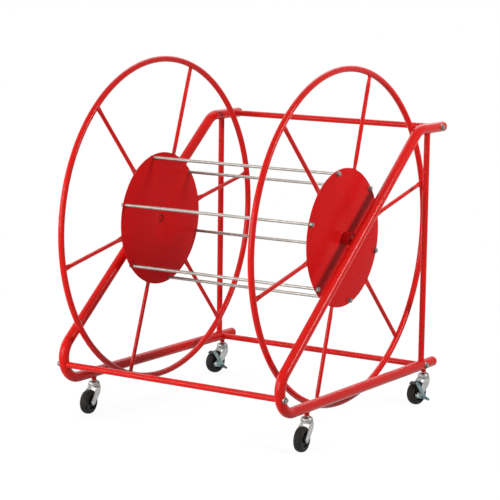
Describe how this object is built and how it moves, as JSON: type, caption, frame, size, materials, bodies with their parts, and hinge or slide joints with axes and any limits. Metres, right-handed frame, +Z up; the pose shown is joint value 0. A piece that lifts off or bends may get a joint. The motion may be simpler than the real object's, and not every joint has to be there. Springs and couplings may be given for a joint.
{
  "type": "wheeled reel stand",
  "caption": "Wheeled tubular stand with a free-running open reel between bent side frames, for hose, rope or cable, on swivel casters.",
  "frame": {"origin": "on the floor, straight below the middle of the reel's axis", "axes": "+X along the reel's axis to the right of a person who stands before the sloping front, +Y to the upright rear, +Z up"},
  "size_m": [0.8385, 1.0264, 1.088],
  "materials": {
    "red_enamel": "gloss",
    "zinc_steel": "bright zinc plate",
    "dark_zinc_steel": "polished plate",
    "blue_zinc_steel": "blue passivated zinc",
    "black_plastic": "satin",
    "tyre_rubber": "matt"
  },
  "bodies": {
    "frame": {"left_side_tube": "red_enamel", "right_side_tube": "red_enamel", "left_post": "red_enamel", "right_post": "red_enamel", "front_cross_tube": "red_enamel", "rear_cross_tube": "red_enamel", "top_cross_tube": "red_enamel", "base_end_caps": "red_enamel", "caster_sockets": "red_enamel", "cross_tube_inserts": "zinc_steel", "frame_bolts": "zinc_steel", "saddle_washers": "zinc_steel", "stub_end_plugs": "black_plastic", "left_axle_pin": "zinc_steel", "right_axle_pin": "zinc_steel", "thrust_washers": "zinc_steel", "swivel_balls": "zinc_steel", "front_left_stem": "dark_zinc_steel", "front_right_stem": "dark_zinc_steel", "rear_left_stem": "dark_zinc_steel", "rear_right_stem": "dark_zinc_steel"},
    "reel": {"left_ring": "red_enamel", "right_ring": "red_enamel", "left_spokes": "red_enamel", "right_spokes": "red_enamel", "left_disc": "red_enamel", "right_disc": "red_enamel", "left_hub": "red_enamel", "right_hub": "red_enamel", "hub_bushes": "black_plastic", "tie_rods": "zinc_steel", "rod_washers": "zinc_steel", "rod_nuts": "zinc_steel"},
    "front_left_fork": {"front_left_fork": "zinc_steel", "front_left_axle_bolt": "zinc_steel", "front_left_axle_nut": "zinc_steel"},
    "front_left_wheel": {"front_left_wheel_core": "black_plastic", "front_left_tyre": "tyre_rubber"},
    "front_right_fork": {"front_right_fork": "zinc_steel", "front_right_axle_bolt": "zinc_steel", "front_right_axle_nut": "zinc_steel"},
    "front_right_wheel": {"front_right_wheel_core": "black_plastic", "front_right_tyre": "tyre_rubber"},
    "rear_left_fork": {"rear_left_fork": "zinc_steel", "rear_left_axle_bolt": "zinc_steel", "rear_left_axle_nut": "zinc_steel", "rear_left_brake_rivet": "zinc_steel"},
    "rear_left_wheel": {"rear_left_wheel_core": "black_plastic", "rear_left_tyre": "tyre_rubber"},
    "rear_left_brake": {"rear_left_brake_lever": "blue_zinc_steel"},
    "rear_right_fork": {"rear_right_fork": "zinc_steel", "rear_right_axle_bolt": "zinc_steel", "rear_right_axle_nut": "zinc_steel", "rear_right_brake_rivet": "zinc_steel"},
    "rear_right_wheel": {"rear_right_wheel_core": "black_plastic", "rear_right_tyre": "tyre_rubber"},
    "rear_right_brake": {"rear_right_brake_lever": "blue_zinc_steel"}
  },
  "joints": [
    {"name": "reel_spin", "type": "hinge", "parent": "frame", "child": "reel", "pos_m": [0, 0, 0.5785], "axis": [1, 0, 0], "continuous": true},
    {"name": "front_left_swivel", "type": "hinge", "parent": "frame", "child": "front_left_fork", "pos_m": [-0.3855, -0.275, 0.125], "axis": [0, 0, 1], "continuous": true},
    {"name": "front_left_roll", "type": "hinge", "parent": "front_left_fork", "child": "front_left_wheel", "pos_m": [-0.3816, -0.30676, 0.0375], "axis": [0.9925, 0.1219, 0], "continuous": true},
    {"name": "front_right_swivel", "type": "hinge", "parent": "frame", "child": "front_right_fork", "pos_m": [0.3855, -0.275, 0.125], "axis": [0, 0, 1], "continuous": true},
    {"name": "front_right_roll", "type": "hinge", "parent": "front_right_fork", "child": "front_right_wheel", "pos_m": [0.3894, -0.30676, 0.0375], "axis": [0.9925, 0.1219, 0], "continuous": true},
    {"name": "rear_left_swivel", "type": "hinge", "parent": "frame", "child": "rear_left_fork", "pos_m": [-0.3855, 0.433, 0.125], "axis": [0, 0, 1], "continuous": true},
    {"name": "rear_left_roll", "type": "hinge", "parent": "rear_left_fork", "child": "rear_left_wheel", "pos_m": [-0.39215, 0.4017, 0.0375], "axis": [0.9781, -0.2079, 0], "continuous": true},
    {"name": "rear_left_brake", "type": "hinge", "parent": "rear_left_fork", "child": "rear_left_brake", "pos_m": [-0.3959, 0.38409, 0.0345], "axis": [-0.9781, 0.2079, 0], "range_deg": [0, 8.8]},
    {"name": "rear_right_swivel", "type": "hinge", "parent": "frame", "child": "rear_right_fork", "pos_m": [0.3855, 0.433, 0.125], "axis": [0, 0, 1], "continuous": true},
    {"name": "rear_right_roll", "type": "hinge", "parent": "rear_right_fork", "child": "rear_right_wheel", "pos_m": [0.37885, 0.4017, 0.0375], "axis": [0.9781, -0.2079, 0], "continuous": true},
    {"name": "rear_right_brake", "type": "hinge", "parent": "rear_right_fork", "child": "rear_right_brake", "pos_m": [0.3751, 0.38409, 0.0345], "axis": [-0.9781, 0.2079, 0], "range_deg": [0, 8.8]}
  ]
}
